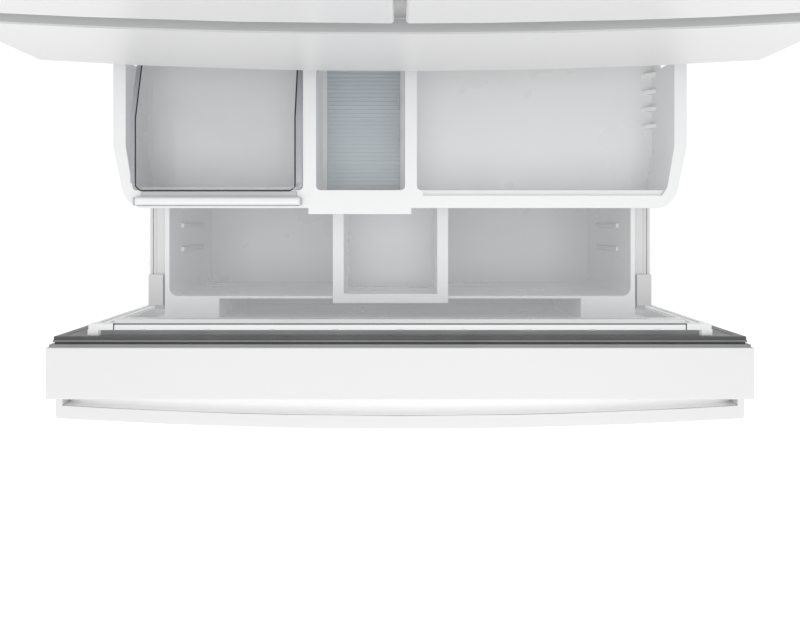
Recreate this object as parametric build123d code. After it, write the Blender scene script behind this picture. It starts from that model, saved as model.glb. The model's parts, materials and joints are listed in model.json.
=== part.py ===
from build123d import *
from math import cos, pi, radians, sin, sqrt
import os

# French door refrigerator with a closed middle drawer and an open bottom freezer drawer.
# Millimetres, +Z up from the floor, front faces -Y, X = 0 is the centre.
# The rest pose has the freezer drawer pulled out, the doors and the middle drawer shut.

# Driving dimensions of the whole appliance
WIDTH = 905.0                # doors and drawer fronts, side to side
HALF = WIDTH / 2
BODY_DEPTH = 870.0           # crown of the shut doors to the rear panel
FREEZER_OPEN = 460.5         # how far the freezer drawer stands open at rest
Y_REAR = (BODY_DEPTH + FREEZER_OPEN) / 2
Y_CROWN = Y_REAR - BODY_DEPTH

# Doors and drawer fronts (all in the shut position)
BOW = 14.0                   # the fronts bow out by this at the centre
BOW_RADIUS = (HALF ** 2 + BOW ** 2) / (2 * BOW)
SLAB_FRONT = Y_CROWN + 45.5  # flat front edge of a drawer slab, behind the bowed skin
SLAB_BACK = Y_CROWN + 111.8
LIP_DROP = 34.6              # the pocket handle's lip is this far below the slab's top
LIP_THICK = 17.0
POCKET_DEPTH = 26.0
END_WALL = 9.0
SKIN = 2.0
DOOR_GAP = 11.0              # between the two french doors
FREEZER_FRONT_Z = (62.0, 565.0)
MIDDLE_FRONT_Z = (587.0, 837.6)
DOOR_Z = (853.0, 1747.0)
LINER_PLATE = 2.0            # inner door panels
PLATE_BACK = SLAB_BACK + LINER_PLATE
GASKET_BACK = SLAB_BACK + 13.4

# Cabinet
CASE_FRONT = SLAB_BACK + 14.0
CASE_HALF = 449.5
CASE_TOP = 1750.0
CASE_BOTTOM = 40.0
FOAM_BOTTOM = 62.0
SHEET = 1.2
LINER = 2.0
CAVITY_HALF = 406.0
PLUG_HALF = CAVITY_HALF - 3
DIKE_INNER = 376.0
FRIDGE_Z = (872.0, 1700.0)
FRIDGE_BACK = 603.0
MIDDLE_Z = (603.0, 818.0)
MIDDLE_BACK = 560.0
FREEZER_Z = (105.0, 551.0)
FREEZER_STEP = (400.0, 335.0)   # the floor rises to this height behind this depth
FREEZER_BACK = 520.0
MACHINE_FRONT = 448.0
MACHINE_Z = (FOAM_BOTTOM, 292.0)

# Hinges
PIN_X = HALF - 22.5
PIN_Y = SLAB_BACK - 27.0
PIN_R = 6.0
BORE_CLEARANCE = 0.05
HINGE_COVER_TOP = 1778.0

# Freezer baskets
NADIR = Y_CROWN - 188.75     # datum line across the open drawer, used for basket places
LOWER_RIM_Z = 410.0
LOWER_FLOOR_Z = 118.0
LOWER_HALF = 341.0
LOWER_FRONT = NADIR - 143.6
LOWER_LENGTH = 458.0
POCKET_PARTITION = (NADIR - 111.0, NADIR - 107.0)
POCKET_HALF = 262.0
UPPER_RIM_Z = 525.0
UPPER_FLOOR_Z = 418.0
UPPER_HALF = 378.6
UPPER_BODY_HALF = 365.0
UPPER_FRONT = NADIR + 18.5
UPPER_LENGTH = 330.0
DIVIDERS = ((-128.0, -110.8), (6.6, 22.4))
RAIL_X = (343.0, 356.5)
MEMBER_X = (357.5, 373.0)
TRACK_X = (366.0, CAVITY_HALF)
RAIL_Z = (370.0, 402.0)
MIDDLE_RAIL_Z = (700.0, 730.0)
RAIL_LENGTH = 420.0
TRACK_FRONT = CASE_FRONT + 24


def block(x0, x1, y0, y1, z0, z1):
    """A plain box between two corners."""
    centre = Pos((x0 + x1) / 2, (y0 + y1) / 2, (z0 + z1) / 2)
    return centre * Box(x1 - x0, y1 - y0, z1 - z0)


def soft_block(x0, x1, y0, y1, z0, z1, radius):
    """A box with every edge rounded."""
    solid = block(x0, x1, y0, y1, z0, z1)
    return fillet(solid.edges(), radius)


def tray(x0, x1, y0, y1, z0, z1, wall, floor=None):
    """An open-topped box."""
    floor = wall if floor is None else floor
    inside = block(x0 + wall, x1 - wall, y0 + wall, y1 - wall, z0 + floor, z1 + 1)
    return block(x0, x1, y0, y1, z0, z1) - inside


def frame_ring(x0, x1, y0, y1, z0, z1, band):
    """A flat rectangular ring that stands upright, facing the front."""
    hole = block(x0 + band, x1 - band, y0 - 1, y1 + 1, z0 + band, z1 - band)
    return block(x0, x1, y0, y1, z0, z1) - hole


def rod(start, axis, radius, length):
    """A cylinder from a start point along a row axis, 'x', 'y' or 'z'."""
    turn = {"x": Rot(0, 90, 0), "y": Rot(-90, 0, 0), "z": Rot(0, 0, 0)}[axis]
    base = Cylinder(radius, length, align=(Align.CENTER, Align.CENTER, Align.MIN))
    return Pos(*start) * turn * base


def flip(solid):
    """The same piece on the other side of the centre plane."""
    return mirror(solid, Plane.YZ)


def both_sides(solid):
    return group(solid, flip(solid))


def group(*solids):
    """Separate solids that share one node."""
    return Compound(children=[piece for piece in solids])


def front_y(x, inset=0.0):
    """Depth of the bowed front surface at x, moved back by inset."""
    return Y_CROWN + inset + BOW_RADIUS - sqrt(BOW_RADIUS ** 2 - x ** 2)


def bowed_block(x0, x1, back, z0, z1, inset=0.0):
    """A block whose front follows the bow of the doors."""
    middle = (x0 + x1) / 2
    ends = [(x0, front_y(x0, inset)), (x1, front_y(x1, inset))]
    arc = ThreePointArc(ends[0], (middle, front_y(middle, inset)), ends[1])
    rest = Polyline(ends[1], (x1, back), (x0, back), ends[0])
    outline = make_face([*arc.edges(), *rest.edges()])
    return Pos(0, 0, z0) * extrude(outline, z1 - z0)


def opened(solid):
    """Move a freezer drawer piece from shut to its rest place."""
    return Pos(0, -FREEZER_OPEN, 0) * solid


# ---- drawer fronts -------------------------------------------------------------------

def drawer_front(z0, z1):
    """Painted steel front: a flat slab, and a bowed skin whose top is a pocket handle."""
    lip_top = z1 - LIP_DROP
    pocket_floor = lip_top - POCKET_DEPTH
    slab = soft_block(-HALF, HALF, SLAB_FRONT, SLAB_BACK, z0, z1, 2.0)
    skin = bowed_block(-HALF, HALF, SLAB_FRONT + 5, z0, lip_top)
    skin = fillet(skin.edges().filter_by(Axis.Z).sort_by(Axis.Y)[:2], 4.0)
    pocket = bowed_block(-HALF + END_WALL, HALF - END_WALL, SLAB_FRONT,
                         pocket_floor, lip_top + 1, LIP_THICK)
    hollow = block(-HALF + SKIN, HALF - SKIN, SLAB_FRONT + SKIN, SLAB_BACK + 1,
                   z0 + SKIN, z1 - SKIN)
    hollow += bowed_block(-HALF + 5, HALF - 5, SLAB_FRONT + 6,
                          z0 + SKIN, pocket_floor - SKIN, 2 * SKIN)
    return slab + skin - pocket - hollow


def drawer_liner(z0, z1, plug_z, plug_back):
    """Inner panel of a drawer front, with a raised plug that enters the opening."""
    plate = block(-HALF + 6, HALF - 6, SLAB_BACK, PLATE_BACK, z0 + 4, z1 - 4)
    return plate + block(-PLUG_HALF, PLUG_HALF, PLATE_BACK, plug_back, *plug_z)


def drawer_gasket(z0, z1):
    return frame_ring(-445, 445, PLATE_BACK, GASKET_BACK, z0 + 5, z1 - 5, 14)


def freezer_door_skin():
    return opened(drawer_front(*FREEZER_FRONT_Z))


def freezer_door_liner():
    """Inner panel with a dike along its top and sides; the basket nests in its recess."""
    top = FREEZER_FRONT_Z[1] - 20
    liner = drawer_liner(*FREEZER_FRONT_Z, (112, top), SLAB_BACK + 34)
    liner -= block(-DIKE_INNER, DIKE_INNER, SLAB_BACK + 14, SLAB_BACK + 40, 111, top - 20)
    side = block(370, CAVITY_HALF, SLAB_BACK + 28, SLAB_BACK + 40, 111, top + 1)
    liner -= side + flip(side)
    return opened(liner)


def freezer_door_gasket():
    return opened(drawer_gasket(*FREEZER_FRONT_Z))


def middle_drawer_skin():
    return drawer_front(*MIDDLE_FRONT_Z)


def middle_drawer_liner():
    return drawer_liner(*MIDDLE_FRONT_Z, (MIDDLE_Z[0] + 4, MIDDLE_Z[1] - 4), SLAB_BACK + 20)


def middle_drawer_gasket():
    return drawer_gasket(*MIDDLE_FRONT_Z)


def middle_drawer_bin():
    """Shallow full-width bin with a fixed divider."""
    front, rear = SLAB_BACK + 20, SLAB_BACK + 400
    bin_ = tray(-340, 340, front, rear, 618, 790, 3)
    return bin_ + block(-1.5, 1.5, front + 1, rear - 1, 619, 770)


# ---- telescopic slides ---------------------------------------------------------------

def slide_track(z, length):
    """Fixed outer track on the liner's wall, with a groove for the middle member."""
    low, high = z
    body = block(*TRACK_X, TRACK_FRONT, TRACK_FRONT + length, low, high)
    groove = block(TRACK_X[0] - 1, MEMBER_X[1] + 1, TRACK_FRONT - 1, TRACK_FRONT + length + 1,
                   low + 6, high - 6)
    return body - groove


def slide_member(z, length):
    low, high = z
    bar = block(*MEMBER_X, CASE_FRONT + 8, CASE_FRONT + length, low + 7, high - 7)
    return bar


def slide_rail(z, length, front):
    """Moving inner rail; its front end is screwed to the drawer's inner panel."""
    low, high = z
    rail = block(*RAIL_X, front, CASE_FRONT + length, low, high)
    groove = block(RAIL_X[1] - 4, RAIL_X[1] + 1, CASE_FRONT + 20, CASE_FRONT + length + 1,
                   low + 8, high - 8)
    return rail - groove


def freezer_slide_tracks():
    return both_sides(slide_track(RAIL_Z, RAIL_LENGTH + 30))


def freezer_slide_members():
    members = both_sides(slide_member(RAIL_Z, RAIL_LENGTH))
    return Pos(0, -FREEZER_OPEN / 2, 0) * members


def freezer_rails():
    rail = slide_rail(RAIL_Z, RAIL_LENGTH, SLAB_BACK + 14)
    end_block = block(RAIL_X[0], 362, CASE_FRONT + 15, CASE_FRONT + 61, RAIL_Z[1], LOWER_RIM_Z)
    return opened(both_sides(rail + end_block))


def middle_slide_tracks():
    return both_sides(slide_track(MIDDLE_RAIL_Z, RAIL_LENGTH))


def middle_slide_members():
    return both_sides(slide_member(MIDDLE_RAIL_Z, RAIL_LENGTH))


def middle_drawer_rails():
    return both_sides(slide_rail(MIDDLE_RAIL_Z, RAIL_LENGTH, SLAB_BACK + 20))


# ---- freezer baskets -----------------------------------------------------------------

def lower_basket():
    """Deep bin with a full-width cavity and a narrow pocket for flat boxes in front."""
    wall = 3.0
    rear = LOWER_FRONT + LOWER_LENGTH
    top = LOWER_RIM_Z
    body = block(-LOWER_HALF, LOWER_HALF, LOWER_FRONT, rear, LOWER_FLOOR_Z, top)
    cavity_half = LOWER_HALF - 7
    cavity = block(-cavity_half, cavity_half, POCKET_PARTITION[1], rear - wall,
                   LOWER_FLOOR_Z + wall, top + 1)
    corners = cavity.edges().filter_by(Axis.Z)
    cavity = fillet(corners, 12)
    pocket = block(-POCKET_HALF, POCKET_HALF, LOWER_FRONT + wall, POCKET_PARTITION[0],
                   LOWER_FLOOR_Z + 60, top + 1)
    side_void = block(POCKET_HALF + wall, LOWER_HALF - wall, LOWER_FRONT + wall,
                      POCKET_PARTITION[1] - wall, LOWER_FLOOR_Z - 1, top - wall)
    under_void = block(-POCKET_HALF, POCKET_HALF, LOWER_FRONT + wall,
                       POCKET_PARTITION[0], LOWER_FLOOR_Z - 1, LOWER_FLOOR_Z + 60 - wall)
    return body - cavity - pocket - side_void - flip(side_void) - under_void


def basket_tray():
    """U-shaped tray that hooks over the partition in the middle of the lower basket."""
    x0, x1 = -97.0, 69.6
    flange = 16.0
    rear = NADIR + 90
    top = LOWER_RIM_Z + 6
    floor = LOWER_RIM_Z - 150
    front = POCKET_PARTITION[1] + 0.5
    tub = tray(x0 + flange - 3, x1 - flange + 3, front, rear, floor, top, 3)
    flanges = block(x0, x0 + flange, front, rear, top - 3, top)
    flanges += block(x1 - flange, x1, front, rear, top - 3, top)
    hook = block(x0, x1, NADIR - 117, front + 3, top - 3, top)
    hook += block(x0 + 10, x1 - 10, NADIR - 117, NADIR - 114, top - 16, top)
    return tub + flanges + hook


def upper_outline(inset=0.0):
    """Plan outline of the upper basket: tapered, chamfered front corners."""
    half = UPPER_HALF - inset
    front = UPPER_FRONT + inset
    rear = UPPER_FRONT + UPPER_LENGTH - inset
    points = [(-half + 30 - 0.84 * inset, front),
              (-half + 13.5 - 0.27 * inset, front + 16 - 0.3 * inset),
              (-half, front + 81.5 - inset), (-half, rear)]
    right = [(-x, y) for x, y in reversed(points)]
    return make_face(Polyline(*points, *right, close=True))


def upper_basket():
    """Sliding white basket with two double-wall dividers."""
    wall = 3.0
    rear = UPPER_FRONT + UPPER_LENGTH
    low_rear = 135.0            # the rear walls are low, so that they pass under the ice maker
    body_inset = UPPER_HALF - UPPER_BODY_HALF
    body = Pos(0, 0, UPPER_FLOOR_Z) * extrude(upper_outline(body_inset), 99.5)
    rim = Pos(0, 0, UPPER_FLOOR_Z + 99) * extrude(upper_outline(), 8.0)
    basket = body + rim
    inner_half = UPPER_BODY_HALF - wall
    bay_front = NADIR + 42.2
    bays = [(-inner_half, DIVIDERS[0][0]), (DIVIDERS[0][1], DIVIDERS[1][0]),
            (DIVIDERS[1][1], inner_half)]
    inside = Pos(0, 0, UPPER_FLOOR_Z + wall) * extrude(upper_outline(body_inset + wall), 120)
    for x0, x1 in bays:
        bay = block(x0, x1, bay_front, rear - 16.6 - wall, UPPER_FLOOR_Z + wall,
                    UPPER_RIM_Z + 1)
        basket -= fillet(bay.edges().filter_by(Axis.Z), 6) & inside
    for x0, x1 in DIVIDERS:
        basket -= block(x0 + 2.5, x1 - 2.5, bay_front + 4, rear - 22, UPPER_FLOOR_Z - 1,
                        UPPER_RIM_Z - 3)
    x0, x1 = bays[1]
    basket -= block(x0 + 12, x1 - 12, bay_front + 12, rear - 34, UPPER_FLOOR_Z - 1,
                    UPPER_FLOOR_Z + 9)
    step = block(DIVIDERS[1][1] + 8, inner_half, bay_front - 7.5, bay_front + 7,
                 UPPER_RIM_Z - 6, UPPER_RIM_Z + 1)
    basket -= step & inside
    basket -= block(-UPPER_HALF - 1, UPPER_HALF + 1, rear - low_rear, rear + 1,
                    UPPER_FLOOR_Z + 37, UPPER_RIM_Z + 1)
    grip = block(-121, 15, UPPER_FRONT - 8, UPPER_FRONT + 2, UPPER_RIM_Z - 10, UPPER_RIM_Z)
    return basket + grip


def basket_floor():
    """Ribbed clear floor that lies in the middle bay of the upper basket."""
    x0, x1 = DIVIDERS[0][1] + 0.5, DIVIDERS[1][0] - 0.5
    front = NADIR + 43.0
    rear = UPPER_FRONT + UPPER_LENGTH - 21.0
    low = UPPER_FLOOR_Z + 3.0
    floor = block(x0 + 6, x1 - 6, front, rear, low, low + 3)
    pitch = 12.0
    count = int((rear - front - 10) / pitch)
    for index in range(count):
        y = front + 8 + index * pitch
        floor += block(x0 + 7, x1 - 7, y, y + 4, low + 2, low + 6)
    return floor


def ice_bin():
    """Clear ice bin in the left bay, with a handle bar over the basket's front rim."""
    wall = 3.0
    x0, x1 = -356.0, DIVIDERS[0][0] - 1.0
    front = NADIR + 43.0
    rear = UPPER_FRONT + UPPER_LENGTH - 20.5
    low, top = UPPER_FLOOR_Z + 3.5, UPPER_RIM_Z + 1
    profile = Polyline((front, low), (rear, low), (rear, 452.0), (front + 202, 452.0),
                       (front + 168, top - 29), (front + 94, top), (front, top), close=True)
    side = make_face(Plane.YZ * profile)
    outline = Polyline((x0 + 7, front), (x1 - 5, front), (x1, front + 5), (x1, rear - 5),
                       (x1 - 5, rear), (x0 + 5, rear), (x0, rear - 5), (x0, front + 32),
                       (x0 + 4.5, front + 4), close=True)
    plan = Pos(0, 0, low) * extrude(make_face(outline), 120)
    body = (Pos(x0, 0, 0) * extrude(side, x1 - x0)) & plan
    hollow = Pos(0, 0, low + wall) * extrude(offset(make_face(outline), -wall), 120)
    handle = soft_block(-348, x1 - 3, NADIR + 22.5, NADIR + 32.2, UPPER_RIM_Z + 0.5,
                        UPPER_RIM_Z + 9, 3)
    neck = block(-340, x1 - 8, NADIR + 30, front + 2, UPPER_RIM_Z + 0.5, UPPER_RIM_Z + 4)
    collar = block(-340, x1 - 6, front, front + wall, top - 2, UPPER_RIM_Z + 4)
    return body - hollow + collar + neck + handle


def basket_tracks():
    """Ledges on the freezer's side walls that carry the upper basket's rim."""
    ledge = block(366, CAVITY_HALF, TRACK_FRONT, CASE_FRONT + 400, 500,
                  UPPER_FLOOR_Z + 98.5)
    return both_sides(ledge)


# ---- french doors --------------------------------------------------------------------

def left_door_skin():
    """Left door, with bored hinge bosses and a finger pocket in its lower edge."""
    z0, z1 = DOOR_Z
    x0, x1 = -HALF, -DOOR_GAP / 2
    body = bowed_block(x0, x1, SLAB_BACK, z0, z1)
    front_edges = body.edges().filter_by(Axis.Z).sort_by(Axis.Y)[:2]
    body = fillet(front_edges, 4.0)
    pocket = (-185.0, -35.0, Y_CROWN + 24, Y_CROWN + 50, z0 - 1, z0 + 28)
    hollow = bowed_block(x0 + 5, x1 - 5, SLAB_BACK + 1, z0 + SKIN, z1 - SKIN, 2 * SKIN)
    walls = block(pocket[0] - 3, pocket[1] + 3, pocket[2] - 3, pocket[3] + 3, z0, z0 + 31)
    boss_z = [(z0, z0 + 26), (z1 - 20, z1)]
    for low, high in boss_z:
        walls += block(-PIN_X - 14, -PIN_X + 14, PIN_Y - 14, PIN_Y + 14, low, high)
    door = body - (hollow - walls) - block(*pocket)
    for low, high in boss_z:
        door -= rod((-PIN_X, PIN_Y, low - 1 if low == z0 else low + 2), "z",
                    PIN_R + BORE_CLEARANCE, high - low - 1)
    return door


def door_panel():
    """Inner panel with two upright dikes that carry the door bins."""
    z0, z1 = DOOR_Z
    plate = block(-HALF + 8, -DOOR_GAP / 2 - 4, SLAB_BACK, PLATE_BACK, z0 + 6, z1 - 6)
    depth = 70.0
    for x0, x1 in ((-398, -386), (-72, -60)):
        plate += block(x0, x1, PLATE_BACK, PLATE_BACK + depth, z0 + 40, z1 - 60)
    return plate


def flap_arms():
    """Two arms on the left door's inner panel, beside the flap's pivots."""
    arms = block(-48, -34, PLATE_BACK, SLAB_BACK + 34, 960, 1000)
    return arms + Pos(0, 0, 640) * arms


def left_door_liner():
    return door_panel() + flap_arms()


def left_door_gasket():
    z0, z1 = DOOR_Z
    return frame_ring(-PIN_X, -DOOR_GAP / 2 - 1.5, PLATE_BACK, GASKET_BACK, z0 + 10, z1 - 10, 16)


def left_door_bins():
    """Three door bins between the dikes."""
    bins = [tray(-385.7, -72.3, PLATE_BACK + 0.3, PLATE_BACK + 95, low, low + 95, 3)
            for low in (910.0, 1180.0, 1450.0)]
    return group(*bins)


def right_door_skin():
    return flip(left_door_skin())


def right_door_liner():
    return flip(door_panel())


def right_door_gasket():
    return flip(left_door_gasket())


def right_door_bins():
    return group(*[flip(piece) for piece in left_door_bins().solids()])


def mullion_flap():
    """Upright flap on the left door that closes the gap between the doors."""
    axis_x, axis_y, radius = -26.0, GASKET_BACK + 7.6, 7.0
    flap = block(axis_x, 0.5, axis_y - radius, axis_y + radius, 880, 1690)
    flap = fillet(flap.edges().filter_by(Axis.Z).sort_by(Axis.X)[-2:], 2)
    return flap + rod((axis_x, axis_y, 880), "z", radius, 810)


# ---- cabinet -------------------------------------------------------------------------

def case_wrapper():
    """Bent steel sheet: both sides, the top and the front flange."""
    outer = block(-CASE_HALF, CASE_HALF, CASE_FRONT, Y_REAR, CASE_BOTTOM, CASE_TOP)
    inner = block(-CASE_HALF + SHEET, CASE_HALF - SHEET, CASE_FRONT + SHEET, Y_REAR + 1,
                  CASE_BOTTOM - 1, CASE_TOP - SHEET)
    mouth = block(-CAVITY_HALF - LINER, CAVITY_HALF + LINER, CASE_FRONT - 1,
                  CASE_FRONT + SHEET + 1, CASE_BOTTOM - 1, FRIDGE_Z[1] + LINER)
    return outer - inner - mouth


def freezer_space(grow=0.0, front=CASE_FRONT):
    """Freezer cavity: a deep front part and a shallower rear part over the machine bay."""
    half = CAVITY_HALF + grow
    step_y, step_z = FREEZER_STEP
    low, high = FREEZER_Z[0] - grow, FREEZER_Z[1] + grow
    space = block(-half, half, front, step_y + grow, low, high)
    return space + block(-half, half, front, FREEZER_BACK + grow, step_z - grow, high)


def cavity(z, back, grow=0.0, front=CASE_FRONT):
    half = CAVITY_HALF + grow
    return block(-half, half, front, back + grow, z[0] - grow, z[1] + grow)


def cabinet_foam():
    """Foamed insulation between the outer steel and the three liners."""
    body = block(-CASE_HALF + SHEET, CASE_HALF - SHEET, CASE_FRONT + SHEET, Y_REAR - SHEET,
                 FOAM_BOTTOM, CASE_TOP - SHEET)
    front = CASE_FRONT - 1
    body -= cavity(FRIDGE_Z, FRIDGE_BACK, LINER, front)
    body -= cavity(MIDDLE_Z, MIDDLE_BACK, LINER, front)
    body -= freezer_space(LINER, front)
    body -= block(-CASE_HALF, CASE_HALF, MACHINE_FRONT, Y_REAR, MACHINE_Z[0] - 1, MACHINE_Z[1])
    return body


def fridge_liner():
    outer = cavity(FRIDGE_Z, FRIDGE_BACK, LINER)
    return outer - cavity(FRIDGE_Z, FRIDGE_BACK, 0, CASE_FRONT - 1)


def middle_liner():
    outer = cavity(MIDDLE_Z, MIDDLE_BACK, LINER)
    return outer - cavity(MIDDLE_Z, MIDDLE_BACK, 0, CASE_FRONT - 1)


def freezer_liner():
    return freezer_space(LINER) - freezer_space(0, CASE_FRONT - 1)


def mullion_plates():
    """Steel strips across the front, between the cavities and under the freezer."""
    half = CAVITY_HALF + LINER
    bands = ((FOAM_BOTTOM, FREEZER_Z[0] - LINER), (FREEZER_Z[1] + LINER, MIDDLE_Z[0] - LINER),
             (MIDDLE_Z[1] + LINER, FRIDGE_Z[0] - LINER))
    strips = [block(-half, half, CASE_FRONT, CASE_FRONT + SHEET, *band) for band in bands]
    return group(*strips)


def back_panel():
    return block(-CASE_HALF + SHEET, CASE_HALF - SHEET, Y_REAR - SHEET, Y_REAR,
                 MACHINE_Z[1], CASE_TOP - SHEET)


def machine_cover():
    """Vented cover over the machine bay, with the gland for the mains lead."""
    half = CASE_HALF - SHEET - 1
    cover = block(-half, half, Y_REAR - 2, Y_REAR, FOAM_BOTTOM + 1, MACHINE_Z[1] - 1)
    for column in range(24):
        x = -380 + column * 20
        for row in (110, 170):
            cover -= block(x, x + 8, Y_REAR - 3, Y_REAR + 1, row, row + 45)
    gland = rod((300, Y_REAR - 14, 240), "y", 14, 14) - rod((300, Y_REAR - 15, 240), "y", 5, 16)
    cover -= rod((300, Y_REAR - 3, 240), "y", 10, 4)
    return cover + gland


def roller_fork(x, y, axle_z, axle_r):
    """Two cheeks and an axle under the base."""
    cheeks = block(x - 14, x - 11, y - 14, y + 14, axle_z - 8, FOAM_BOTTOM - 1)
    cheeks += block(x + 11, x + 14, y - 14, y + 14, axle_z - 8, FOAM_BOTTOM - 1)
    return cheeks + rod((x - 14, y, axle_z), "x", axle_r, 28)


FRONT_ROLLER = (340.0, 10.0, 25.0, 23.0)     # x, y, axle height, wheel radius
REAR_ROLLER = (380.0, 610.0, 26.0, 26.0)
AXLE_R = 4.0


def base_frame():
    """Welded base: side rails, front rail, pan and roller forks."""
    half = CASE_HALF - SHEET
    pan = block(-half, half, CASE_FRONT + 20, Y_REAR - 4, FOAM_BOTTOM - 1.5, FOAM_BOTTOM)
    for side in (-1, 1):
        x0, x1 = sorted((side * half, side * (half - 3)))
        pan += block(x0, x1, CASE_FRONT + 20, Y_REAR - 4, CASE_BOTTOM, FOAM_BOTTOM)
        for x, y, axle_z, _ in (FRONT_ROLLER, REAR_ROLLER):
            pan += roller_fork(side * x, y, axle_z, AXLE_R)
    pan += block(-half, half, CASE_FRONT + 20, CASE_FRONT + 23, CASE_BOTTOM, FOAM_BOTTOM)
    return pan


def roller_pair(x, y, axle_z, radius):
    wheel = rod((x - 10, y, axle_z), "x", radius, 20) - rod((x - 11, y, axle_z), "x",
                                                           AXLE_R + BORE_CLEARANCE, 22)
    return both_sides(wheel)


def front_rollers():
    return roller_pair(*FRONT_ROLLER)


def rear_rollers():
    return roller_pair(*REAR_ROLLER)


def levelling_legs():
    """Screw feet that carry the front of the cabinet."""
    foot = rod((410, 0, 0), "z", 18, 9) + rod((410, 0, 8), "z", 6, FOAM_BOTTOM - 9.5)
    foot += Pos(410, 0, 24) * extrude(RegularPolygon(11, 6), 10)
    return both_sides(foot)


def toe_grille():
    """Slotted kick plate under the freezer drawer."""
    y0 = CASE_FRONT + 8
    grille = soft_block(-445, 445, y0, y0 + 6, 12, 58, 2)
    for column in range(27):
        x = -390 + column * 30 - 10
        for row in (20, 31, 42):
            grille -= block(x, x + 22, y0 - 1, y0 + 7, row, row + 6)
    for x in (-300, 300):
        grille += block(x - 15, x + 15, y0 + 5, CASE_FRONT + 20, 44, 56)
    return grille


def door_hinges():
    """Top and middle hinge brackets with their pins."""
    top_plate = block(-CASE_HALF, -400, PIN_Y - 14, 30, CASE_TOP, CASE_TOP + 4)
    top = top_plate + rod((-PIN_X, PIN_Y, DOOR_Z[1] - 16), "z", PIN_R, CASE_TOP - DOOR_Z[1] + 18)
    plate_z = DOOR_Z[0] - 9
    low = block(-CASE_HALF + 1, -400, PIN_Y - 14, CASE_FRONT, plate_z, plate_z + 4)
    low += block(-CASE_HALF + 1, -400, CASE_FRONT - 3, CASE_FRONT, plate_z - 5, DOOR_Z[0])
    low += rod((-PIN_X, PIN_Y, plate_z + 2), "z", PIN_R, 28)
    low += rod((-PIN_X, PIN_Y, plate_z + 2), "z", 11, 6.8)
    return group(top, low, flip(top), flip(low))


def hinge_covers():
    """Moulded caps over the top hinge brackets."""
    cover = soft_block(-CASE_HALF, -396, PIN_Y - 22, 44, CASE_TOP - 8, HINGE_COVER_TOP, 5)
    cover -= block(-CASE_HALF - 1, -390, PIN_Y - 30, 50, CASE_TOP - 9, CASE_TOP)
    cover -= block(-CASE_HALF - 1, -400 + 0.5, PIN_Y - 14.5, 30.5, CASE_TOP - 1, CASE_TOP + 4.5)
    inside = block(-CASE_HALF + 3, -400, PIN_Y - 18, 40, CASE_TOP - 1, HINGE_COVER_TOP - 3)
    return both_sides(cover - inside)


# ---- inside the refrigerator ---------------------------------------------------------

SHELF_LEVELS = (1092.0, 1290.0, 1480.0)
SHELF_FRONT = 45.0
SHELF_BACK = FRIDGE_BACK - 15


def shelf_frames():
    """Plastic frames with rear brackets, one for each glass shelf."""
    frames = []
    half = CAVITY_HALF - 1
    for z in SHELF_LEVELS:
        ring = block(-half, half, SHELF_FRONT, SHELF_BACK, z - 8, z + 8)
        ring -= block(-half + 14, half - 14, SHELF_FRONT + 20, SHELF_BACK - 24, z - 9, z + 9)
        ring -= block(-half + 6, half - 6, SHELF_FRONT + 12, SHELF_BACK - 14, z, z + 9)
        for x in (-300, 280):
            ring += block(x, x + 20, SHELF_BACK - 6, FRIDGE_BACK, z - 8, z + 4)
        frames.append(ring)
    return group(*frames)


def glass_shelves():
    half = CAVITY_HALF - 8
    plates = [block(-half, half, SHELF_FRONT + 13, SHELF_BACK - 15, z, z + 5)
              for z in SHELF_LEVELS]
    return group(*plates)


def crisper(side):
    """Drawer on the floor of the refrigerator, under the lowest shelf."""
    x0, x1 = sorted((side * 7.0, side * (CAVITY_HALF - 5)))
    box = tray(x0, x1, SHELF_FRONT + 4, 560, FRIDGE_Z[0] + 2, 1072, 3)
    grip = block(x0 + 40, x1 - 40, SHELF_FRONT - 8, SHELF_FRONT + 5, 1062, 1072)
    feet = block(x0 + 10, x1 - 10, SHELF_FRONT + 30, 540, FRIDGE_Z[0], FRIDGE_Z[0] + 3)
    return box + grip + feet


def left_crisper():
    return crisper(-1)


def right_crisper():
    return crisper(1)


def air_duct():
    """Cold-air tower on the back wall."""
    duct = soft_block(-75, 75, FRIDGE_BACK - 13, FRIDGE_BACK + 5, 1120, 1690, 4)
    duct -= block(-80, 80, FRIDGE_BACK, FRIDGE_BACK + 6, 1100, 1700)
    for index in range(6):
        z = 1160 + index * 90
        duct -= block(-50, 50, FRIDGE_BACK - 14, FRIDGE_BACK - 6, z, z + 8)
    return duct


def control_panel():
    """Control and lamp housing under the ceiling, bored for the button."""
    panel = soft_block(-160, 160, 60, 300, 1672, FRIDGE_Z[1] + 4, 4)
    panel -= block(-170, 170, 50, 310, FRIDGE_Z[1], FRIDGE_Z[1] + 5)
    panel -= block(-110, 110, 170, 270, 1670, 1676)
    panel -= rod((0, 59, 1687), "y", 8.3, 16)
    return panel


def light_lens():
    return block(-109.5, 109.5, 170.5, 269.5, 1670.5, 1676)


def temp_button():
    return rod((0, 56, 1687), "y", 8, 16)


def compressor():
    """Hermetic compressor: a domed steel can on a foot plate."""
    x, y = -270.0, 555.0
    can = rod((x, y, FOAM_BOTTOM + 14), "z", 78, 130)
    can += Pos(x, y, FOAM_BOTTOM + 144) * Sphere(78) & block(x - 90, x + 90, y - 90, y + 90,
                                                             0, FOAM_BOTTOM + 190)
    plate = block(x - 95, x + 95, y - 85, y + 85, FOAM_BOTTOM + 10, FOAM_BOTTOM + 14)
    feet = [rod((x + sx * 80, y + sy * 70, FOAM_BOTTOM), "z", 10, 11)
            for sx in (-1, 1) for sy in (-1, 1)]
    result = can + plate
    for foot in feet:
        result += foot
    return result


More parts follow.
